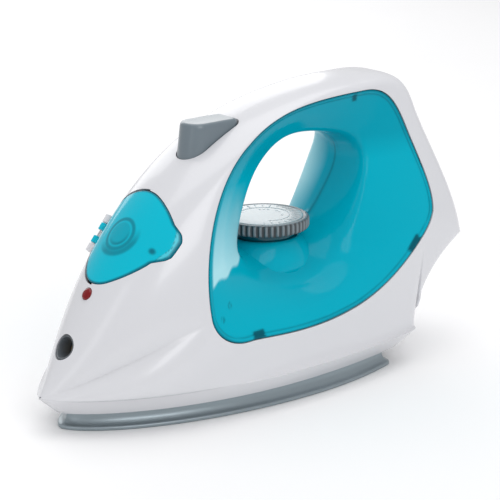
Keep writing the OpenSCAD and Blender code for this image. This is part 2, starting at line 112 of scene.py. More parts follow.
def round_cutter(centre, radius, low, high, axis=None, count=40):
    turn = np.linspace(0, 2 * np.pi, count, endpoint=False)
    ring = np.c_[radius * np.cos(turn), radius * np.sin(turn)]
    rings = [np.c_[ring, np.full(count, z)] for z in (low, high)]
    points, faces = stack(rings)
    if axis is not None:
        points = points @ np.array(axis)
    return make_piece("cutter", points + np.array(centre, float), faces, None, smooth=False)


def smooth_by_angle(piece, degrees):
    bm = bmesh.new()
    bm.from_mesh(piece.data)
    for face in bm.faces:
        face.smooth = True
    for edge in bm.edges:
        edge.smooth = len(edge.link_faces) == 2 and edge.calc_face_angle(0) < math.radians(degrees)
    bm.to_mesh(piece.data)
    bm.free()


def sole_half(x):
    front = SOLE_HALF * (1 - (1 - np.clip((x + 110) / 122, 0, 1)) ** 2) ** 0.65
    rear = SOLE_HALF - 9 * np.clip((x - 12) / 58, 0, 1) ** 2
    corner = np.clip((x - 64) / 6, 0, 1)
    return np.where(x < 12, front, rear) * (1 - corner**4) ** 0.25


def sole_outline():
    front = -110 + 122 * (1 - np.cos(np.linspace(0, np.pi / 2, 90)))
    middle = np.linspace(13, 64, 30)
    corner = 64 + 6 * np.sin(np.linspace(0.02, np.pi / 2, 40))
    x = np.r_[front, middle, corner]
    y = sole_half(x)
    return even_outline(np.vstack([np.c_[x, -y], np.c_[x[::-1], y[::-1]][1:-1]]), 420)


def moulding_grain():
    """Slow tone drift and fine surface grain, shared by every finish."""
    group = bpy.data.node_groups.new("moulding_grain", "ShaderNodeTree")
    for name, kind, where in (
        ("Size", "NodeSocketFloat", "INPUT"),
        ("Base Roughness", "NodeSocketFloat", "INPUT"),
        ("Roughness Drift", "NodeSocketFloat", "INPUT"),
        ("Tone", "NodeSocketFloat", "OUTPUT"),
        ("Roughness", "NodeSocketFloat", "OUTPUT"),
        ("Height", "NodeSocketFloat", "OUTPUT"),
    ):
        group.interface.new_socket(name=name, in_out=where, socket_type=kind)
    add, link = group.nodes.new, group.links.new
    given, out = add("NodeGroupInput"), add("NodeGroupOutput")
    place = add("ShaderNodeTexCoord")
    slow, fine = add("ShaderNodeTexNoise"), add("ShaderNodeTexNoise")
    slow.inputs["Detail"].default_value = 3
    fine.inputs["Detail"].default_value = 5
    slow.inputs["Scale"].default_value = 14
    link(place.outputs["Object"], slow.inputs["Vector"])
    link(place.outputs["Object"], fine.inputs["Vector"])
    link(given.outputs["Size"], fine.inputs["Scale"])
    drift = add("ShaderNodeMath")
    drift.operation = "MULTIPLY_ADD"
    link(fine.outputs["Fac"], drift.inputs[0])
    link(given.outputs["Roughness Drift"], drift.inputs[1])
    link(given.outputs["Base Roughness"], drift.inputs[2])
    link(slow.outputs["Fac"], out.inputs["Tone"])
    link(drift.outputs[0], out.inputs["Roughness"])
    link(fine.outputs["Fac"], out.inputs["Height"])
    return group


GRAIN = moulding_grain()


def finish(name, light, dark, rough, drift=0.06, size=900, bump=0.15, metallic=0.0, coat=0.0, masks=(), **fixed):
    """Node material: two tones drifting over the surface, grain in gloss and bump.

    masks is a list of (point attribute, colour laid over where it is 1)."""
    material = bpy.data.materials.new(name)
    material.use_nodes = True
    tree = material.node_tree
    add, link = tree.nodes.new, tree.links.new
    shader = tree.nodes["Principled BSDF"]
    grain = add("ShaderNodeGroup")
    grain.node_tree = GRAIN
    grain.inputs["Size"].default_value = size
    grain.inputs["Base Roughness"].default_value = rough - drift / 2
    grain.inputs["Roughness Drift"].default_value = drift
    tone = add("ShaderNodeMix")
    tone.data_type = "RGBA"
    tone.inputs["A"].default_value = (*light, 1)
    tone.inputs["B"].default_value = (*dark, 1)
    link(grain.outputs["Tone"], tone.inputs["Factor"])
    colour = tone.outputs["Result"]
    for attribute, over in masks:
        where = add("ShaderNodeAttribute")
        where.attribute_name = attribute
        lay = add("ShaderNodeMix")
        lay.data_type = "RGBA"
        link(where.outputs["Fac"], lay.inputs["Factor"])
        link(colour, lay.inputs["A"])
        lay.inputs["B"].default_value = (*over, 1)
        colour = lay.outputs["Result"]
    link(colour, shader.inputs["Base Color"])
    link(grain.outputs["Roughness"], shader.inputs["Roughness"])
    relief = add("ShaderNodeBump")
    relief.inputs["Strength"].default_value = bump
    relief.inputs["Distance"].default_value = 0.0002
    link(grain.outputs["Height"], relief.inputs["Height"])
    link(relief.outputs["Normal"], shader.inputs["Normal"])
    shader.inputs["Metallic"].default_value = metallic
    shader.inputs["Coat Weight"].default_value = coat
    for socket, value in fixed.items():
        shader.inputs[socket.replace("_", " ")].default_value = value
    return material


def mark(piece, name, values):
    attribute = piece.data.attributes.new(name, "FLOAT", "POINT")
    attribute.data.foreach_set("value", np.clip(np.asarray(values, float), 0, 1))


outline = sole_outline()
sole_profile = [
    (1.0, 0.0), (0.45, 0.08), (0.12, 0.35), (0.0, 0.8), (0.0, 1.35), (0.18, 1.7), (0.6, 1.95),
    (1.3, 2.2), (2.1, 2.65), (2.9, 3.4), (3.5, 4.4), (3.85, 5.6), (4.0, 7.0), (4.0, 8.2),
]
rings = [np.c_[drawn_in(outline, i), np.full(len(outline), z)] for i, z in sole_profile]
soleplate = make_piece("soleplate_shell", *stack(rings), "iron_body", "soleplate")
holes = [(x, s * max(float(sole_half(np.array(x))) - 11, 3)) for x in range(-92, -13, 13) for s in (-1, 1)]
holes += [(x, s * 7) for x in range(-46, -13, 16) for s in (-1, 1)]
cut_away(soleplate, [round_cutter((x, y, 0), 1.6, -1, 5, count=20) for x, y in holes])
smooth_by_angle(soleplate, 35)
soleplate.data.materials.append(
    finish("sole_coating", (0.31, 0.37, 0.4), (0.26, 0.31, 0.34), 0.34, 0.12, 1500, 0.2, 0.55, 0.15)
)
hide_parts("soleplate")

# --- Works inside ----------------------------------------------------------
# Heater, steam chamber, thermostat, pump, tank, wiring and fasteners. They sit
# hidden behind the housing, keep their machined shapes and get the finish of
# steel, cast metal, ceramic, silicone or plain moulded plastic.

STEEL = finish("bright_steel", (0.62, 0.63, 0.65), (0.5, 0.51, 0.53), 0.3, 0.12, 2200, 0.1, 1.0)
CAST = finish("cast_aluminium", (0.62, 0.63, 0.64), (0.5, 0.51, 0.52), 0.5, 0.15, 1100, 0.5, 1.0)
BRASS = finish("turned_brass", (0.72, 0.52, 0.22), (0.6, 0.42, 0.17), 0.3, 0.1, 1800, 0.1, 1.0)
CERAMIC = finish("steatite", (0.82, 0.79, 0.71), (0.74, 0.71, 0.63), 0.6, 0.1, 900, 0.4)
SILICONE = finish("silicone_rubber", (0.78, 0.8, 0.8), (0.7, 0.72, 0.72), 0.45, 0.1, 700, 0.2)
DARK_RUBBER = finish("dark_rubber", (0.045, 0.047, 0.05), (0.03, 0.032, 0.035), 0.55, 0.15, 1200, 0.5)
NATURAL = finish("natural_nylon", (0.8, 0.8, 0.76), (0.74, 0.74, 0.7), 0.45, 0.1, 800, 0.2)
HEAT_PLASTIC = finish("heatproof_resin", (0.1, 0.11, 0.12), (0.07, 0.08, 0.09), 0.5, 0.15, 900, 0.4)
TANK_PLASTIC = finish("tank_plastic", (0.25, 0.66, 0.72), (0.2, 0.6, 0.67), 0.2, 0.06, 600, 0.1, coat=0.3)
inside = {
    "heating_element": STEEL, "steam_chamber_cover": CAST, "chamber_seal": DARK_RUBBER,
    "drip_valve": NATURAL, "thermostat_body": CERAMIC, "thermostat_shaft": STEEL,
    "dial_clip": STEEL, "chassis": HEAT_PLASTIC, "chassis_screws": STEEL,
    "water_tank": TANK_PLASTIC, "filler_seal": SILICONE, "filler_hinge_pin": STEEL,
    "nozzle_tip": BRASS, "neon_lamp": CERAMIC, "pump_piston": NATURAL, "pump_body": NATURAL,
    "button_spring": STEEL, "spray_tube": SILICONE, "suction_tube": SILICONE,
    "terminal_block": CERAMIC, "thermal_fuse": BRASS, "supply_wires": SILICONE,
}
for node, material in inside.items():
    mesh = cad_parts[node].data
    mesh.materials.clear()
    mesh.materials.append(material)

# --- White housing ---------------------------------------------------------
# Two glossy injection-moulded halves that meet on the middle plane. Each is a
# skin stretched between the side outline and the rim of the window opening,
# with a chamfer below the widest line; holes are left for the other parts.

SIDE = [
    [[-121, 17], [-103, 43], [-82, 92], [-38, 116.5]],
    [[-38, 116.5], [-12, 132.6], [20, 145.4], [62, 145]],
    [[62, 145], [90, 144.7], [93.5, 142.5], [97.5, 126]],
    [[97.5, 126], [106.5, 103], [122, 80], [125, 56]],
    [[125, 56], [113, 50], [96, 40], [87, 17]],
    [[87, 17], [17, 17], [-53, 17], [-121, 17]],
]
RIM = [
    [[-51.5, 50], [-52.5, 72], [-42, 108], [-14, 124]],
    [[-14, 124], [6, 137], [30, 138.5], [62, 138.6]],
    [[62, 138.6], [77, 138.6], [82, 132], [87, 119]],
    [[87, 119], [93, 102], [103, 84], [99.5, 73]],
    [[99.5, 73], [97.5, 69], [95, 66.5], [91, 63.5]],
    [[91, 63.5], [40, 26], [-10, 36], [-30, 36]],
    [[-30, 36], [-43, 35], [-51, 42], [-51.5, 50]],
]
FULLNESS = [(1.9, 2), (2, 2.1), (2.1, 4.8), (4.8, 7), (7, 7), (3.2, 1.9)]
SEGMENT_STEPS = [80, 70, 36, 45, 35, 110]
BOTTOM_SPLIT = 0.72
RIM_V = 0.93
WALL = 2.2
SLOPE = math.radians(50.2)
UP_RIDGE = np.array([math.cos(SLOPE), 0, math.sin(SLOPE)])
OUT_OF_RIDGE = np.array([-math.sin(SLOPE), 0, math.cos(SLOPE)])
RIDGE_FRAME = np.array([UP_RIDGE, [0, 1, 0], OUT_OF_RIDGE])
RIDGE_FOOT = np.array([-89.5, 0, 66])


def bezier(c, t):
    c, t = np.array(c, float), np.asarray(t, float)[:, None]
    return (1 - t) ** 3 * c[0] + 3 * (1 - t) ** 2 * t * c[1] + 3 * (1 - t) * t**2 * c[2] + t**3 * c[3]


def keel_half(x):
    front = 47.5 * (1 - (1 - np.clip((x + 121) / 127, 0, 1)) ** 2) ** 0.7
    rear = 47.5 - 9.5 * np.clip((x - 6) / 79.5, 0, 1) ** 2
    corner = np.clip((x - 77.5) / 9.5, 0, 1)
    return np.where(x < 6, front, rear) * (1 - corner**3) ** (1 / 3)


def rim_half(c):
    taper = 1 - 0.13 * np.clip((c[:, 0] - 40) / 70, 0, 1) ** 1.5
    return (48 - 0.235 * (c[:, 1] - 14)) * taper


def make_spokes():
    side, rim, full, keel, loop, low = [], [], [], [], [], []
    for k, steps in enumerate(SEGMENT_STEPS):
        t = np.arange(steps) / steps
        if k == 5:
            t = t**1.35
        s = bezier(SIDE[k], t)
        if k < 5:
            c, g = bezier(RIM[k], t), 2 * (k + t)
        else:
            a = t < BOTTOM_SPLIT
            first, second = t[a] / BOTTOM_SPLIT, (t[~a] - BOTTOM_SPLIT) / (1 - BOTTOM_SPLIT)
            c = np.vstack([bezier(RIM[5], first), bezier(RIM[6], second)])
            g = np.r_[10 + 2 * first, 12 + 2 * second]
        side.append(s)
        rim.append(c)
        loop.append(g)
        f = FULLNESS[k][0] + (FULLNESS[k][1] - FULLNESS[k][0]) * t
        if k == 0:
            f = f - 0.65 * np.clip(1 - t / 0.5, 0, 1) ** 1.5
        if k == 5:
            f = f - 0.65 * np.clip((t - 0.6) / 0.4, 0, 1) ** 1.5
        full.append(f)
        keel.append(keel_half(s[:, 0]) if k == 5 else np.zeros(steps))
        low.append(np.full(steps, k == 5))
    low[0][0] = True
    return [np.concatenate(part) for part in (side, rim, full, keel, loop, low)]


side_pts, rim_pts, full, keel, loop_at, low = make_spokes()
rim_y = rim_half(rim_pts)


def lift(q):
    return (1 - (1 - q) ** full) ** (1 / full)


def skin_point(v):
    v = np.broadcast_to(v, full.shape)
    f = lift(v * RIM_V) / lift(RIM_V)
    xz = side_pts + (rim_pts - side_pts) * v[:, None]
    return np.c_[xz[:, 0], -(keel + (rim_y - keel) * f), xz[:, 1]]


def outer_rows():
    first = 0.012
    edge = np.c_[-111.5 + (side_pts[:, 0] + 121) * 188.7 / 208, -keel * 0.87, np.full(len(keel), 8.4)]
    foot = skin_point(0)
    rows = [np.where(low[:, None], edge, foot)]
    for blend, v in ((0.5, 0.25), (0.9, 0.5)):
        rows.append(np.where(low[:, None], edge + (foot - edge) * blend, skin_point(first * v)))
    rows.append(np.where(low[:, None], foot, skin_point(first * 0.75)))
    return rows + [skin_point(v) for v in np.linspace(first**0.5, 1, 40) ** 2]


def grid_normals(grid, ridge):
    across = np.gradient(grid, axis=1)
    along = np.roll(grid, -1, 0) - np.roll(grid, 1, 0)
    n = np.cross(across, along)
    if ridge:
        n[~low, 0, 1] = 0
    return n / np.maximum(np.linalg.norm(n, axis=2), 1e-9)[:, :, None]


outer = np.stack(outer_rows(), 1)
outer_n = grid_normals(outer, True)


def both_sides(grid, normals):
    """Whole outside of the housing as one surface that rays and normals come from."""
    n, m = grid.shape[:2]
    faces = []
    for i in range(n):
        for j in range(m - 1):
            a, b = i * m + j, ((i + 1) % n) * m + j
            faces += [(a, b, b + 1), (a, b + 1, a + 1)]
    flip = np.array([1, -1, 1])
    points = np.vstack([grid.reshape(-1, 3), grid.reshape(-1, 3) * flip])
    faces += [(c + n * m, b + n * m, a + n * m) for a, b, c in faces]
    vectors = np.vstack([normals.reshape(-1, 3), normals.reshape(-1, 3) * flip])
    return BVHTree.FromPolygons([tuple(p) for p in points], faces), points, faces, vectors


OUTSIDE = both_sides(outer, outer_n)


def normal_near(surface, point):
    tree, points, faces, vectors = surface
    where, _, index, gap = tree.find_nearest(point)
    corners = faces[index]
    a, b, c = (points[k] for k in corners)
    p = np.array(where)
    area = np.linalg.norm(np.cross(b - a, c - a)) + 1e-12
    w = [
        np.linalg.norm(np.cross(b - p, c - p)) / area,
        np.linalg.norm(np.cross(c - p, a - p)) / area,
        np.linalg.norm(np.cross(a - p, b - p)) / area,
    ]
    n = sum(k * vectors[i] for k, i in zip(w, corners))
    return n / max(np.linalg.norm(n), 1e-9), gap


def true_normals(piece, surface, reach=0.08):
    """Keeps the smooth moulded shading where cuts have split the mesh."""
    mesh = piece.data
    known, loops = {}, []
    for face in mesh.polygons:
        flat = np.array(face.normal)
        for k in face.vertices:
            if k not in known:
                known[k] = normal_near(surface, Vector(mesh.vertices[k].co) / MM)
            n, gap = known[k]
            loops.append(tuple(n if gap < reach and n @ flat > 0.6 else flat))
    mesh.normals_split_custom_set(loops)


def shell_piece(name, skin, lining, right, slot):
    """Closed shell from an outer grid and its lining; the far half is mirrored."""
    rings = np.concatenate([skin, lining], axis=1)
    count, m = rings.shape[:2]
    faces = []
    for i in range(count):
        for j in range(m):
            a, b = i * m + j, ((i + 1) % count) * m + j
            k = (j + 1) % m - j
            faces.append((a, b, b + k, a + k))
    if right:
        rings = rings * np.array([1, -1, 1])
        faces = [f[::-1] for f in faces]
    return make_piece(name, rings.reshape(-1, 3), faces, "iron_body", slot)


def half_shell(name, right):
    lean = np.minimum((outer.shape[1] - 1 - np.arange(outer.shape[1])) / 10, 1)[None, :, None]
    n = outer_n * np.concatenate([lean, np.ones_like(lean), lean], axis=2)
    n[:, :, 1] -= 0.01
    n[low, 0, 2] = 0
    n[~low, 0, 1] = 0
    n /= np.linalg.norm(n, axis=2)[:, :, None]
    inner = outer - WALL * n
    inner[:, :, 1] = np.minimum(inner[:, :, 1], 0)
    keep = [0, 1, 3, 6, 10, 15, 20, 25, 30, 34, 38, 40, 42, outer.shape[1] - 1]
    slot = "housing_right" if right else "housing_left"
    return shell_piece(name, outer, inner[:, keep[::-1]], right, slot)


def ridge_ray(u, y):
    """Height of the housing above the ridge frame at (u, y)."""
    start = RIDGE_FOOT + u * UP_RIDGE + np.array([0, y, 0]) + 20 * OUT_OF_RIDGE
    hit = OUTSIDE[0].ray_cast(Vector(start), Vector(-OUT_OF_RIDGE))
    return 20 - hit[3] if hit[0] is not None else -12


FLAP_HALF = [
    [0, 0], [1.6, 6.5], [7, 13], [14, 18.3], [21, 21.6], [30, 23],
    [38, 22.6], [43, 18.5], [47, 12.5], [49.6, 6], [50.4, 0],
]


def catmull(points, count):
    points = np.array(points, float)
    out = []
    for i in range(1, len(points) - 2):
        a, b, c, d = points[i - 1 : i + 3]
        for f in np.arange(count) / count:
            out.append(
                0.5 * (2 * b + (c - a) * f + (2 * a - 5 * b + 4 * c - d) * f**2 + (3 * b - a - 3 * c + d) * f**3)
            )
    return np.array(out + [points[-2]])


def flap_outline(grow, tab, count=240):
    """Outline in the ridge frame, counter-clockwise; the tab is on the -Y side."""
    half = catmull([[1.6, -6.5], *FLAP_HALF, [49.6, -6]], 12)
    k = 1 + grow / 23
    half = np.c_[27 + (half[:, 0] - 27) * k, half[:, 1] * k]
    near = half * np.array([1, -1])
    if tab:
        reach = np.interp(near[:, 0], [19.5, 23.5, 26, 35, 38, 40.5], [0, 2.6, 3.4, 3.2, 2.4, 0])
        near[:, 1] -= reach * (near[:, 1] < -15)
    return even_outline(np.vstack([near, half[::-1][1:-1]]), count)


def ridge_cutter(outline, low_n, high_n):
    rings = [np.c_[outline, np.full(len(outline), n)] for n in (low_n, high_n)]
    points, faces = stack(rings)
    return make_piece("cutter", RIDGE_FOOT + points @ RIDGE_FRAME, faces, None, smooth=False)


def button_outline(grow=0.0, count=180):
    """Seen from above: round in front, square with rounded corners behind."""
    def arc(x, y, r, a, b):
        t = np.radians(np.linspace(a, b, 40))
        return np.c_[x + r * np.cos(t), y + r * np.sin(t)]

    parts = [
        arc(-29.5, 0, 8.5 + grow, 90, 270), arc(-12, -4.5, 4 + grow, 270, 360), arc(-12, 4.5, 4 + grow, 0, 90),
    ]
    return even_outline(np.vstack(parts), count)


NOZZLE_AT = np.array([-105.6, 0, 38.5])
NOZZLE_TILT = math.radians(20)
NOZZLE_AXIS = np.array([-math.cos(NOZZLE_TILT), 0, math.sin(NOZZLE_TILT)])
NOZZLE_FRAME = np.array([[math.sin(NOZZLE_TILT), 0, math.cos(NOZZLE_TILT)], [0, -1, 0], NOZZLE_AXIS])
NOZZLE_FRAME[1] = np.cross(NOZZLE_AXIS, NOZZLE_FRAME[0])
LAMP_AT = RIDGE_FOOT - 5.6 * UP_RIDGE
COVER_BOX = (15.0, 67.0, 117.0)


def heel_outline(grow, count=120):
    """Rounded rectangle in (y, z)."""
    half, z0, z1 = COVER_BOX[0] + grow, COVER_BOX[1] - grow, COVER_BOX[2] + grow
    t = np.linspace(0, 2 * np.pi, 400, endpoint=False)
    c, s = np.cos(t), np.sin(t)
    y = half * np.sign(c) * np.abs(c) ** 0.18
    z = (z0 + z1) / 2 + (z1 - z0) / 2 * np.sign(s) * np.abs(s) ** 0.11
    return even_outline(np.c_[y, z], count)


def shell_cutters(flap_gap):
    slot = button_outline(0.35)
    slot_rings = [np.c_[slot, np.full(len(slot), z)] for z in (108, 148)]
    heel = heel_outline(0.35)
    heel_rings = [np.c_[np.full(len(heel), x), heel] for x in (84, 134)]
    return [
        ridge_cutter(flap_outline(flap_gap, True), -20, 10),
        round_cutter(LAMP_AT, 3.12, -8, 4, RIDGE_FRAME),
        round_cutter(NOZZLE_AT, 6.15, -12, 12, NOZZLE_FRAME, 64),
        make_piece("cutter", *stack(slot_rings), None, smooth=False),
        make_piece("cutter", *stack(heel_rings), None, smooth=False),
    ]


WHITE = finish(
    "white_gloss", (0.7, 0.705, 0.73), (0.68, 0.685, 0.715), 0.24, 0.04, 500, 0.05, coat=0.35,
    Coat_Roughness=0.06,
)
housing_left = half_shell("housing_near", False)
cut_away(housing_left, shell_cutters(0.3))
true_normals(housing_left, OUTSIDE)
housing_left.data.materials.append(WHITE)
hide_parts("housing_left")

housing_right = half_shell("housing_far", True)
cut_away(housing_right, shell_cutters(0.9))
true_normals(housing_right, OUTSIDE)
housing_right.data.materials.append(WHITE)
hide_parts("housing_right")

# --- Side windows ----------------------------------------------------------
# Clear turquoise plastic dishes, one in each side. From the rim each sinks in
# a soft fillet to the edge of the grip opening and meets the other in the
# middle. They are shaded as opaque plastic with masks: the clips and pegs
# behind the rim drawn in, painted shade along the rim, the seam, under the
# handle and low in the floor, and painted pale light on the front and on
# the far window.

CREASE = [
    [-18, -18, 71], [-14.5, -16, 87], [-2, -13, 109], [18, -11.5, 121.5], [45, -12, 120],
    [58.5, -15.5, 116.5], [61.5, -18.5, 108.5], [59.5, -21.5, 99.4], [55.5, -23.5, 87], [50, -24.5, 74],
    [42, -24.5, 62.5], [22, -23.5, 52.5], [-6, -21.5, 57], [-14, -19.5, 64.5],
]
THROAT = [
    [-16.5, 0, 75], [-13.5, 0, 88], [-1, 0, 108], [18, 0, 120], [46.5, 0, 117.6],
    [56, 0, 113.2], [60, 0, 107.5], [59, 0, 98.4], [52.5, 0, 88.5], [46, 0, 80],
    [39, 0, 74], [24, 0, 71], [-6, 0, 70], [-14, 0, 71.5],
]
HOLLOW = [1.5, 1.3, 1.15, 1.15, 1.5, 1.9, 2.1, 2.2, 2.2, 2.2, 2.1, 1.9, 1.7, 1.6]
WINDOW_WALL = 2.0
DIAL_X = 13.2


def ring_at(points, g):
    points = np.array(points, float)
    if points.ndim == 1:
        points = points[:, None]
    n = len(points)
    i = np.floor(g).astype(int)
    f = (g - i)[:, None]
    a, b, c, d = (points[(i + k) % n] for k in (-1, 0, 1, 2))
    return 0.5 * (2 * b + (c - a) * f + (2 * a - 5 * b + 4 * c - d) * f**2 + (3 * b - a - 3 * c + d) * f**3)


def dish_rows():
    start = np.c_[rim_pts[:, 0], 0.15 - rim_y, rim_pts[:, 1]]
    crease, throat, power = ring_at(CREASE, loop_at), ring_at(THROAT, loop_at), ring_at(HOLLOW, loop_at)[:, 0]
    flat = (crease - start) * np.array([1, 0, 1])
    length = np.linalg.norm(flat, axis=1)
    unit = flat / length[:, None]
    rows = []
    for d, drop in ((0.3, 0.9), (0.36, 0.3), (0.75, 0.0), (1.9, 0.0), (2.2, 0.12), (2.5, 0.4)):
        v = d / length
        rows.append(start + unit * d + np.c_[0 * v, drop + (crease - start)[:, 1] * v**power, 0 * v])
    for step in np.linspace(0, 1, 44)[1:]:
        d = 2.5 + (length - 2.5) * step
        v = d / length
        y = 0.4 * (1 - step) + (crease - start)[:, 1] * v**power
        rows.append(start + unit * d[:, None] + np.c_[0 * v, y, 0 * v])
    for s in np.linspace(0, 1, 19)[1:]:
        e = np.array([s**0.6, s, s**0.6])
        rows.append(crease + (throat - crease) * e)
    grid = np.stack(rows, 1)
    hold = np.clip((np.arange(grid.shape[1]) - 7) / 14, 0, 1)[None, :, None]
    for _ in range(160):
        even = 0.25 * np.roll(grid, 1, 0) + 0.5 * grid + 0.25 * np.roll(grid, -1, 0)
        grid = grid + (even - grid) * hold
    for _ in range(14):
        grid[:, 8:-1] = 0.25 * grid[:, 7:-2] + 0.5 * grid[:, 8:-1] + 0.25 * grid[:, 9:]
    grid[:, -1, 1] = 0
    return grid


dish = dish_rows()
dish_n = grid_normals(dish, False)
dish_n[:, -1, 1] = 0
dish_n[:, -1] /= np.linalg.norm(dish_n[:, -1], axis=1)[:, None]
DISH = both_sides(dish, dish_n)


def soft_step(inside_by):
    return 0.5 * (1 + np.tanh(3.5 * inside_by))


def clip_shadows(points):
    """Where the dark clips and locating pegs show through the rim."""
    x, z = points[:, 0], points[:, 2]
    mask = np.zeros(len(points))
    for x0, z0, lean, half_long, half_wide in (
        (-25.2, 38.2, 0.02, 3.4, 1.7), (56.2, 135.4, 0.05, 1.5, 1.7),
        (94.2, 102, -1.25, 5.5, 1.0), (83.0, 60.2, 0.66, 5.0, 1.7),
    ):
        c, s = math.cos(lean), math.sin(lean)
        a, b = (x - x0) * c + (z - z0) * s, -(x - x0) * s + (z - z0) * c
        mask = np.maximum(mask, soft_step(half_long - np.abs(a)) * soft_step(half_wide - np.abs(b)))
    for x0, z0, r in ((-44.5, 48.5, 0.9), (-38.0, 53.5, 1.1)):
        gap = np.hypot(x - x0, z - z0)
        mask = np.maximum(mask, 0.55 * np.exp(-((gap - r) ** 2) / 0.12))
    return mask


def window(name, right):
    n = dish_n.copy()
    lean = np.minimum(np.arange(dish.shape[1]) / 16, 1)[None, :, None]
    n = n * np.concatenate([lean, np.ones_like(lean), lean], axis=2)
    n[:, :, 1] -= 0.02
    n[:, -1, 1] = 0
    n /= np.linalg.norm(n, axis=2)[:, :, None]
    inner = dish - WINDOW_WALL * n
    inner[:, :, 1] = np.minimum(inner[:, :, 1], 0)
    keep = [0, 6, 12, 18, 24, 30, 36, 42, 46, 50, 54, 58, 62, dish.shape[1] - 1]
    slot = "side_window_right" if right else "side_window_left"
    piece = shell_piece(name, dish, inner[:, keep[::-1]], right, slot)
    cut_away(piece, [round_cutter((DIAL_X, 0, 0), 16.1, 50, 73.5, count=96)])
    true_normals(piece, DISH)
    points = np.array([v.co for v in piece.data.vertices]) / MM
    rim_run = np.vstack([rim_pts, rim_pts[:1]])
    inward = np.array([
        np.min(np.hypot(rim_run[:, 0] - p[0], rim_run[:, 1] - p[2])) for p in points
    ])
    # Painted shade: a dark line along the rim gap, one at the small step 2.4 mm in, and dark lines along the seam
    # and the groove beside it; the clips and pegs behind the rim go into the same mask.
    edge = np.exp(-((inward / 1.05) ** 4)) + 0.5 * np.exp(-(((inward - 2.4) / 0.4) ** 2))
    near = np.abs(points[:, 1])
    seam_shade = 0.5 * np.exp(-((near / 0.25) ** 2)) + 0.4 * np.exp(-(((near - 1.7) / 0.3) ** 2))
    mark(piece, "deep", edge * 0.9 + seam_shade + clip_shadows(points))
    under_handle = np.clip((points[:, 2] - 104) / 12, 0, 1) * np.clip((30 - near) / 8, 0, 1)
    low_floor = np.clip((70 - points[:, 2]) / 16, 0, 1) * np.clip((26 - near) / 6, 0, 1)
    mark(piece, "shade", 0.75 * np.maximum(under_handle, low_floor))
    # Painted light: a pale painted reflection over the front of each window, above a wavy line.
    x, z = points[:, 0], points[:, 2]
    edge_z = 64 + 0.16 * (x + 45) + 0.8 * np.sin((x + 45) * 0.5)
    front = np.clip((-11 - x) / 9, 0, 1) * np.clip((z - edge_z) / 1.2, 0, 1)
    front *= np.clip((106 - z) / 36, 0, 1)
    pale = 0.85 * front * np.clip((inward - 3.0) / 1.0, 0, 1)
    if right:
        # On the far window, painted backlight: its inner part past x 25 is painted pale as if lit from behind
        # through the plastic.
        through = np.clip((points[:, 1] - 5) / 14, 0, 1) * (x > 25) * (z > 68)
        through = through * np.clip((inward - 12) / 6, 0, 1)
        pale = np.maximum(pale, through * np.clip((z - 68) / 30 + 0.3, 0, 1))
    mark(piece, "pale", pale)
    return piece


# The masks lay on painted shade, painted pale light, and dark for the painted shade at the rim and seam and for
# the clips behind it.
TURQUOISE = finish(
    "turquoise_clear", (0.0, 0.43, 0.56), (0.0, 0.38, 0.51), 0.12, 0.03, 400, 0.02, coat=0.05,
    masks=[("shade", (0.0, 0.3, 0.41)), ("pale", (0.5, 0.84, 0.9)), ("deep", (0.0, 0.1, 0.14))],
    Coat_Roughness=0.03, Specular_IOR_Level=0.08,
)
window_left = window("window_near", False)
window_left.data.materials.append(TURQUOISE)
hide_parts("side_window_left")
window_right = window("window_far", True)
window_right.data.materials.append(TURQUOISE)
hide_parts("side_window_right")


def platform_rings():
    """Raised floor of the grip opening that carries the dial."""
    turn = np.linspace(0, 2 * np.pi, 160, endpoint=False)
    rings = []
    for along, across, z in (
        (15.95, 15.95, 67.0), (15.95, 15.95, 70.4), (16.1, 16.1, 70.8), (16.4, 16.3, 70.9),
        (17.2, 16.8, 70.7), (18.6, 17.7, 69.8), (20.6, 18.8, 67.8), (23, 19.9, 65),
        (25.6, 20.8, 61.6), (28, 21.4, 58), (29.6, 21.6, 54.5),
    ):
        rings.append(np.c_[DIAL_X + along * np.cos(turn), across * np.sin(turn), np.full(160, z)])
    return rings[::-1]


platform_points, platform_faces = stack(platform_rings(), bottom=False, top=False)
platform = make_piece("dial_platform", platform_points, platform_faces, "iron_body", "side_window_left")
thicken = platform.modifiers.new("wall", "SOLIDIFY")
thicken.thickness = 0.0015
platform.data.materials.append(TURQUOISE)
heights = platform_points[:, 2]
mark(platform, "shade", 0.5 * np.clip((heights - 60) / 11, 0, 1))
CLIP_PLASTIC = finish("clip_plastic", (0.01, 0.1, 0.13), (0.01, 0.08, 0.1), 0.4, 0.1)
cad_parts["window_clips"].data.materials.clear()
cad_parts["window_clips"].data.materials.append(CLIP_PLASTIC)

# --- Temperature dial ------------------------------------------------------
# Grey moulded dial on the thermostat shaft. The rim is fluted for the thumb,
# the paler top is a pressed-in disc with a printed scale of plain tick marks,
# and it turns over a deep turquoise base ring set in the windows.


def turned(profile, count=96, centre=(DIAL_X, 0)):
    """Rings of a turned shape from (radius, height) pairs, bottom first."""
    turn = np.linspace(0, 2 * np.pi, count, endpoint=False)
    return [
        np.c_[centre[0] + r * np.cos(turn), centre[1] + r * np.sin(turn), np.full(count, z)] for r, z in profile
    ]


def fluted(profile, flutes=48, steps=10):
    count = flutes * steps
    turn = np.linspace(0, 2 * np.pi, count, endpoint=False)
    wave = np.clip(0.5 + 0.95 * np.cos(turn * flutes), 0, 1)
    rings = []
    for r, z, depth in profile:
        radius = r - depth * (1 - wave)
        rings.append(np.c_[DIAL_X + radius * np.cos(turn), radius * np.sin(turn), np.full(count, z)])
    return rings


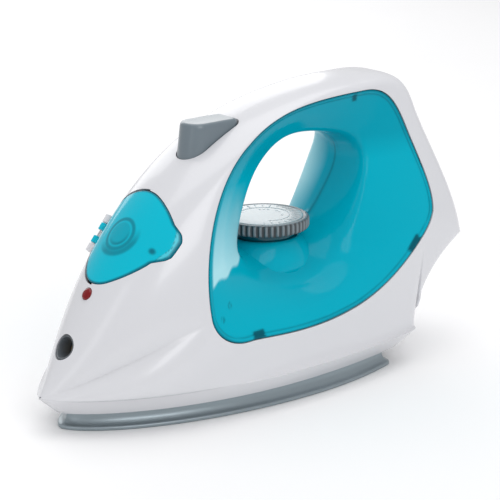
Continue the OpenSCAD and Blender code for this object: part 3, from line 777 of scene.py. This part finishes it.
dial_profile = [
    (7.6, 62.0, 0), (7.6, 74.0, 0), (8.4, 74.5, 0), (20.6, 74.5, 0), (21.4, 74.7, 0.3), (21.9, 75.3, 0.9),
    (22.2, 76.0, 1.0), (22.2, 79.0, 1.0), (22.05, 79.6, 0.8), (21.7, 80.1, 0.35), (21.3, 80.35, 0.0),
    (20.9, 80.45, 0), (20.3, 80.5, 0), (19.9, 80.42, 0), (19.7, 80.15, 0), (19.3, 80.1, 0),
]
dial = make_piece("dial_rim", *stack(fluted(dial_profile)), "dial", "temperature_dial")
around = np.array([(v.co.x / MM - DIAL_X, v.co.y / MM, v.co.z / MM) for v in dial.data.vertices])
out_by = np.hypot(around[:, 0], around[:, 1])
# Painted shade: the bottoms of the flutes are darkened nearly to black.
mark(dial, "painted_groove_shade", np.clip((22.0 - out_by) / 0.7, 0, 1) * (out_by > 20.9) * (around[:, 2] < 80.2))
smooth_by_angle(dial, 50)
dial.data.materials.append(
    finish(
        "dial_grey", (0.2, 0.235, 0.255), (0.17, 0.2, 0.22), 0.36, 0.1, 1300, 0.25, coat=0.2,
        masks=[("painted_groove_shade", (0.03, 0.038, 0.043))],
    )
)
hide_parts("temperature_dial")

disc_profile = [(19.1, 79.2), (19.15, 80.3), (18.95, 80.45), (18.6, 80.5), (12, 80.56), (5, 80.6), (1, 80.6)]
dial_disc = make_piece("dial_disc", *stack(turned(disc_profile, 160)), "dial", "temperature_dial")
smooth_by_angle(dial_disc, 50)
dial_disc.data.materials.append(
    finish(
        "dial_disc_grey", (0.39, 0.46, 0.48), (0.35, 0.42, 0.44), 0.22, 0.06, 900, 0.1, coat=0.5,
        Coat_Roughness=0.08,
    )
)


def scale_marks():
    """Plain ticks, an arc that widens, and dots: a heat scale with no words."""
    points, faces = [], []

    def patch(ring):
        base = len(points)
        z0, z1 = 80.48, 80.66
        n = len(ring)
        for z in (z0, z1):
            points.extend([(DIAL_X + x, y, z) for x, y in ring])
        faces.append(tuple(base + n + k for k in range(n)))
        faces.append(tuple(base + k for k in range(n - 1, -1, -1)))
        for k in range(n):
            faces.append((base + k, base + (k + 1) % n, base + n + (k + 1) % n, base + n + k))

    for degrees in np.arange(-130, 131, 13):
        a = math.radians(degrees)
        out, side = np.array([math.cos(a), math.sin(a)]), np.array([-math.sin(a), math.cos(a)])
        long = 3.2 if abs(degrees) % 39 < 1 else 1.8
        corners = [(17.6, -0.22), (17.6, 0.22), (17.6 - long, 0.22), (17.6 - long, -0.22)]
        patch([tuple(r * out + w * side) for r, w in corners])
    t = np.radians(np.linspace(-120, 120, 60))
    wide = np.linspace(0.25, 1.2, 60)
    arc_out = np.c_[(12.2 + wide) * np.cos(t), (12.2 + wide) * np.sin(t)]
    arc_in = np.c_[12.2 * np.cos(t), 12.2 * np.sin(t)][::-1]
    patch([tuple(p) for p in np.vstack([arc_out, arc_in])])
    ring = np.linspace(0, 2 * np.pi, 16, endpoint=False)
    for row, dots in ((-50, 1), (0, 2), (50, 3)):
        for k in range(dots):
            a = math.radians(row + (k - (dots - 1) / 2) * 13)
            patch([(9 * math.cos(a) + 0.6 * math.cos(r), 9 * math.sin(a) + 0.6 * math.sin(r)) for r in ring])
    return points, faces


dial_scale = make_piece("dial_scale", *scale_marks(), "dial", "temperature_dial", smooth=False)
dial_scale.data.materials.append(finish("scale_print", (0.68, 0.72, 0.73), (0.62, 0.66, 0.68), 0.4, 0.1))

base_profile = [
    (15.7, 56), (15.8, 57), (15.8, 69.8), (15.5, 70.3), (15.4, 70.9), (15.7, 71.3), (15.85, 71.9), (15.85, 73.2),
    (15.6, 73.8), (15.0, 74.1), (9.2, 74.1), (8.8, 73.9), (8.7, 73.2), (8.7, 66),
]
dial_base = make_piece("dial_base_ring", *stack(turned(base_profile, 160)), "iron_body", "dial_base")
smooth_by_angle(dial_base, 40)
heights = np.array([v.co.z for v in dial_base.data.vertices]) / MM
# Painted shade: the band of the ring above the platform, in the recess under the dial, is darkened nearly to
# black.
mark(dial_base, "painted_shade_under_dial", np.clip((heights - 70.2) / 0.4, 0, 1))
dial_base.data.materials.append(
    finish(
        "dial_plinth", (0.0, 0.35, 0.47), (0.0, 0.3, 0.42), 0.14, 0.04, 500, 0.03, coat=0.25,
        masks=[("painted_shade_under_dial", (0.0, 0.08, 0.11))], Coat_Roughness=0.05, Specular_IOR_Level=0.3,
    )
)
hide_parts("dial_base")

# --- Spray button ----------------------------------------------------------
# Blue-grey moulded thumb button let into the front of the handle. Its walls
# are drafted, the edge of the top is rolled over and the top is dished a
# little. It rides on the pump's piston rod.

def button_rings():
    rings = []
    for inset, z in (
        (0.0, 114.0), (0.0, 117.0), (0.2, 122.0), (0.5, 130.2), (0.6, 131.2), (0.85, 132.1),
        (1.3, 132.7), (1.9, 132.95), (2.6, 133.0), (4.0, 132.9),
    ):
        ring = button_outline(-inset)
        forward = np.clip((-20 - ring[:, 0]) / 18, 0, 1)
        ring[:, 0] += 1.6 * forward * np.clip((z - 117) / 16, 0, 1)
        rings.append(np.c_[ring, np.full(len(ring), z)])
    return rings


button = make_piece("spray_button_cap", *stack(button_rings()), "spray_button", "steam_button")
smooth_by_angle(button, 40)
button.data.materials.append(
    finish(
        "button_grey", (0.165, 0.205, 0.235), (0.14, 0.18, 0.205), 0.3, 0.08, 1100, 0.2, coat=0.25,
        Coat_Roughness=0.15,
    )
)
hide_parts("steam_button")

# --- Filler flap -----------------------------------------------------------
# Clear turquoise flap over the filler neck, flush with the front ridge. It
# hinges on the far side on a steel pin and lifts by the thin tab on the near
# side. It is shaded as opaque plastic, with the neck's ring, a peg and the
# housing under the tab drawn as masks, and painted shade at its edge,
# inside the neck and in crescents below it.

FLAP_CENTRE = np.array([27.0, 0.0])
HINGE = (25.2, -8.6, 2.3)


def on_ridge(points):
    return RIDGE_FOOT + np.asarray(points, float) @ RIDGE_FRAME


def draped_lid(outline, thickness, lead=0.0):
    """Lid that follows the housing surface, edge rolled over."""
    scales = [(1.0, -thickness), (1.0, -0.55), (0.993, -0.14), (0.98, lead)]
    scales += [(s, lead) for s in np.linspace(0.97, 0.02, 76)]
    rings = []
    for scale, drop in scales:
        flat = FLAP_CENTRE + (outline - FLAP_CENTRE) * scale
        rings.append([(u, y, ridge_ray(u, y) + drop) for u, y in flat])
    under = [
        [(u, y, ridge_ray(u, y) - thickness) for u, y in FLAP_CENTRE + (outline - FLAP_CENTRE) * s]
        for s in (0.1, 0.5, 0.9)
    ]
    return np.array(under + rings)


flap_ring = draped_lid(flap_outline(0, True, 420), 1.9)
count, m = flap_ring.shape[:2]
points, faces = stack(on_ridge(flap_ring.reshape(-1, 3)).reshape(count, m, 3))
flap = make_piece("flap_lid", points, faces, "filler_flap", "filler_cover")
local = (points - RIDGE_FOOT) @ RIDGE_FRAME.T
body_line = flap_outline(0, False)
reach = np.array([np.min(np.hypot(body_line[:, 0] - u, body_line[:, 1] - y)) for u, y in local[:, :2]])
rim_line = flap_outline(0, True)
to_edge = np.array([np.min(np.hypot(rim_line[:, 0] - u, rim_line[:, 1] - y)) for u, y in local[:, :2]])
on_tab = np.zeros(len(local))
for k, (u, y) in enumerate(local[:, :2]):
    if y < -15 and abs(u - 30) < 11:
        lid = np.interp(u, [c[0] for c in FLAP_HALF], [c[1] for c in FLAP_HALF])
        on_tab[k] = np.clip((-y - lid - 0.2 - 1.5 * math.exp(-(((u - 31) / 7) ** 2))) / 0.3, 0, 1)
neck_gap = np.hypot(local[:, 0] - 26, local[:, 1])
below = np.clip((-(local[:, 0] - 26) - 0.6 * local[:, 1]) / 8, 0, 1)
# The neck's rim is drawn as a dark ring; the rest is painted shadow inside the neck and in crescents below it.
neck_shadow = 0.62 * np.exp(-((neck_gap - 7.8) ** 4)) + 0.3 * np.clip(6.6 - neck_gap, 0, 1)
neck_shadow += below * 0.6 * np.exp(-(((neck_gap - 10.2) / 1.5) ** 4))
neck_shadow += below * 0.5 * np.exp(-(((neck_gap - 5.4) / 0.9) ** 2))
peg = np.exp(-((np.hypot(local[:, 0] - 24.6, local[:, 1] + 19.6) / 1.5) ** 4))
# Painted shade along the flap's edge gap, and a dark line along the housing edge under the tab.
edge_shade = 0.9 * np.exp(-((to_edge / 0.95) ** 4)) + 2.4 * on_tab * (1 - on_tab)
mark(flap, "deep", edge_shade + neck_shadow + 0.85 * peg)
mark(flap, "pale", 0.75 * on_tab * np.clip((to_edge - 0.5) / 0.4, 0, 1))
FLAP_CLEAR = finish(
    "flap_clear", (0.0, 0.5, 0.64), (0.0, 0.46, 0.6), 0.12, 0.03, 400, 0.02, coat=0.2,
    masks=[("pale", (0.1, 0.6, 0.7)), ("deep", (0.0, 0.11, 0.16))], Coat_Roughness=0.03, Specular_IOR_Level=0.1,
)
flap.data.materials.append(FLAP_CLEAR)
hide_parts("filler_cover")


def barrel(name, u0, u1, body, slot, material):
    y, n, r = HINGE
    turn = np.linspace(0, 2 * np.pi, 36, endpoint=False)
    rings = []
    for u, k in ((u0, 0.55), (u0, 0.88), (u0 + 0.25, 1.0), (u1 - 0.25, 1.0), (u1, 0.88), (u1, 0.55)):
        rings.append(np.c_[np.full(36, u), y + k * r * np.cos(turn), n + k * r * np.sin(turn)])
    points, faces = stack(rings)
    piece = make_piece(name, on_ridge(points), faces, body, slot)
    smooth_by_angle(piece, 40)
    piece.data.materials.append(material)
    return piece


for k, (u0, u1) in enumerate(((19.7, 23.3), (26.7, 30.3))):
    barrel(f"flap_knuckle_{k}", u0, u1, "filler_flap", "filler_cover", FLAP_CLEAR)
for k, (u0, u1) in enumerate(((15.1, 19.3), (30.7, 34.9))):
    barrel(f"hinge_ear_{k}", u0, u1, "iron_body", "housing_right", WHITE)
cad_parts["filler_tray"].data.materials.clear()
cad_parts["filler_tray"].data.materials.append(TANK_PLASTIC)

# --- Spray nozzle and warning lamp -----------------------------------------
# The nozzle is a grey tube let into the nose with a small brass jet deep
# inside; its lip follows the housing. The lamp is a dark red clear lens, a
# low dome pushed into the ridge above it.


def nozzle_rings():
    turn = np.linspace(0, 2 * np.pi, 96, endpoint=False)
    rings = []
    for r, drop, follow in (
        (5.6, -14, 0), (6.0, -10, 0), (6.0, -0.9, 1), (5.85, -0.5, 1), (5.5, -0.35, 1),
        (5.1, -0.5, 1), (4.9, -0.9, 1), (4.6, -4.0, 1), (4.0, -9.0, 0), (3.7, -12.0, 0),
    ):
        ring = []
        for a in turn:
            flat = r * math.cos(a), r * math.sin(a)
            top = 0.0
            if follow:
                start = NOZZLE_AT + np.array([*flat, 14.0]) @ NOZZLE_FRAME
                hit = OUTSIDE[0].ray_cast(Vector(start), Vector(-NOZZLE_AXIS))
                top = 14 - hit[3] if hit[0] is not None else -4
            ring.append((*flat, top + drop))
        rings.append(ring)
    return np.array(rings)


tube = nozzle_rings()
count, m = tube.shape[:2]
tube_points = NOZZLE_AT + tube.reshape(-1, 3) @ NOZZLE_FRAME
nozzle = make_piece("nozzle_tube", *stack(tube_points.reshape(count, m, 3)), "iron_body", "nozzle_body")
smooth_by_angle(nozzle, 50)
nozzle.data.materials.append(
    finish("nozzle_grey", (0.1, 0.115, 0.13), (0.08, 0.09, 0.1), 0.35, 0.1, 1100, 0.2, coat=0.2)
)
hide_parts("nozzle_body")

lens_profile = [(2.9, -5.0), (3.0, -4.6), (3.0, -0.5), (2.96, -0.2)]
lens_profile += [(2.96 * math.cos(a), -0.2 + 1.25 * math.sin(a)) for a in np.linspace(0.1, 1.5, 14)]
lens_rings = [ring @ RIDGE_FRAME + LAMP_AT for ring in turned(lens_profile, 48, (0, 0))]
lens = make_piece("lamp_lens", *stack(lens_rings), "iron_body", "indicator_lens")
smooth_by_angle(lens, 50)
lens.data.materials.append(
    finish(
        "lamp_red", (0.22, 0.001, 0.004), (0.16, 0.001, 0.003), 0.08, 0.02, 500, 0.01, coat=0.3,
        Specular_IOR_Level=0.2,
    )
)
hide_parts("indicator_lens")

# --- Heel ------------------------------------------------------------------
# A white cover closes the heel and is held by one cross-head screw. The cord
# would come out through the ribbed rubber sleeve in it; the sleeve grips the
# cover with a flange.


def heel_cover():
    outline = heel_outline(0)
    centre = np.array([0, 92.0])
    rings = []

    def surface(y, z):
        hit = OUTSIDE[0].ray_cast(Vector((150, y, z)), Vector((-1, 0, 0)))
        return 150 - hit[3] if hit[0] is not None else 110

    for s, drop in ((0.1, -2.2), (0.6, -2.2), (1.0, -2.2), (1.0, -0.5), (0.992, -0.12), (0.975, 0)):
        flat = centre + (outline - centre) * s
        rings.append([(surface(y, z) + drop, y, z) for y, z in flat])
    for s in np.linspace(0.92, 0.05, 16):
        flat = centre + (outline - centre) * s
        rings.append([(surface(y, z), y, z) for y, z in flat])
    points, faces = stack(rings)
    return make_piece("heel_cover", points, faces, "iron_body", "rear_cover")


cover = heel_cover()
cut_away(cover, [round_cutter((90, 0, 100), 6.2, 0, 40, [[0, 0, -1], [0, 1, 0], [1, 0, 0]], 64)])
true_normals(cover, OUTSIDE)
cover.data.materials.append(WHITE)
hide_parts("rear_cover")

gland_profile = [(8.8, 96), (9, 96.4), (9, 98.6), (8.6, 99), (6.0, 99.2), (6.0, 110.6)]
for k in range(5):
    x = 111.2 + k * 1.9
    r = 6.0 - 0.16 * k
    gland_profile += [(r, x), (r, x + 0.9), (r - 0.7, x + 1.1), (r - 0.7, x + 1.6)]
gland_profile += [(5.2, 120.3), (4.9, 120.7), (4.4, 120.75), (3.95, 120.3), (3.9, 98)]
gland_rings = [ring[:, [2, 0, 1]] + np.array([0, 0, 100]) for ring in turned(gland_profile, 72, (0, 0))]
gland_points, gland_faces = stack(gland_rings, top=False, bottom=False)
count = len(gland_profile)
gland_faces += [(j, (j + 1) % 72, (count - 1) * 72 + (j + 1) % 72, (count - 1) * 72 + j)[::-1] for j in range(72)]
gland = make_piece("cord_sleeve", gland_points, gland_faces, "iron_body", "cord_inlet")
smooth_by_angle(gland, 35)
gland.data.materials.append(DARK_RUBBER)
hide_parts("cord_inlet")

lean = math.radians(72)
SCREW_FRAME = np.array([
    [math.cos(lean), 0, -math.sin(lean)], [0, 1, 0], [math.sin(lean), 0, math.cos(lean)],
])
screw_profile = [
    (1.5, 8), (1.5, 28.15), (2.75, 28.15), (2.8, 28.4), (2.75, 29.1), (2.4, 29.6), (1.7, 29.85), (0.6, 29.95),
]
screw_rings = [ring @ SCREW_FRAME + np.array([90, 0, 76]) for ring in turned(screw_profile, 40, (0, 0))]
screw = make_piece("heel_screw", *stack(screw_rings), "iron_body", "rear_cover_screw")
for a, b in ((1.9, 0.35), (0.35, 1.9)):
    corners = np.array([(-a, -b), (a, -b), (a, b), (-a, b)])
    slot_rings = [np.c_[corners, np.full(4, z)] @ SCREW_FRAME + np.array([90, 0, 76]) for z in (29, 31)]
    cut_away(screw, [make_piece("cutter", *stack(slot_rings), None, smooth=False)])
smooth_by_angle(screw, 30)
screw.data.materials.append(STEEL)
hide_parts("rear_cover_screw")

# --- Studio ----------------------------------------------------------------
# Flat pale floor, white surroundings and four soft panels, with a long lens
# three quarters on to the near side, a little above.

floor_points = [(-3000, -3000, -0.05), (3000, -3000, -0.05), (3000, 3000, -0.05), (-3000, 3000, -0.05)]
floor = make_piece("studio_floor", floor_points, [(0, 1, 2, 3)], None, smooth=False)
floor.data.materials.append(finish("floor_paper", (0.96, 0.96, 0.96), (0.95, 0.95, 0.95), 0.9, 0.05, 200, 0.02))

world = bpy.data.worlds.new("studio")
world.use_nodes = True
world.node_tree.nodes["Background"].inputs["Color"].default_value = (0.6, 0.6, 0.61, 1)
world.node_tree.nodes["Background"].inputs["Strength"].default_value = 1.0
bpy.context.scene.world = world
bpy.context.scene.view_settings.view_transform = "Standard"


def soft_panel(name, at, towards, width, height, power):
    light = bpy.data.lights.new(name, "AREA")
    light.shape = "RECTANGLE"
    light.size, light.size_y = width, height
    light.energy = power
    panel = bpy.data.objects.new(name, light)
    panel.location = at
    panel.rotation_euler = (Vector(towards) - Vector(at)).to_track_quat("-Z", "Y").to_euler()
    bpy.context.scene.collection.objects.link(panel)


soft_panel("key", (-0.3, -1.2, 0.85), (0, 0, 0.07), 0.8, 0.6, 4.2)
soft_panel("side_strip", (-1.15, -0.35, 0.45), (0, 0, 0.07), 0.22, 0.8, 0.6)
soft_panel("top", (0.1, 0.1, 1.2), (0, 0, 0.05), 1.2, 1.2, 6.2)
soft_panel("back", (0.5, 1.2, 0.6), (0, 0, 0.07), 1.0, 0.8, 3.6)

camera_data = bpy.data.cameras.new("camera")
camera = bpy.data.objects.new("camera", camera_data)
camera_data.sensor_width = 36
camera_data.lens = 140.26
target = Vector((0.0043, 0, 0.064))
direction = Vector((-0.6163, -0.7345, 0.2840)).normalized()
camera.location = target + 0.95 * direction
camera.rotation_euler = (-direction).to_track_quat("-Z", "Y").to_euler()
camera_data.clip_end = 50
bpy.context.scene.collection.objects.link(camera)
bpy.context.scene.camera = camera
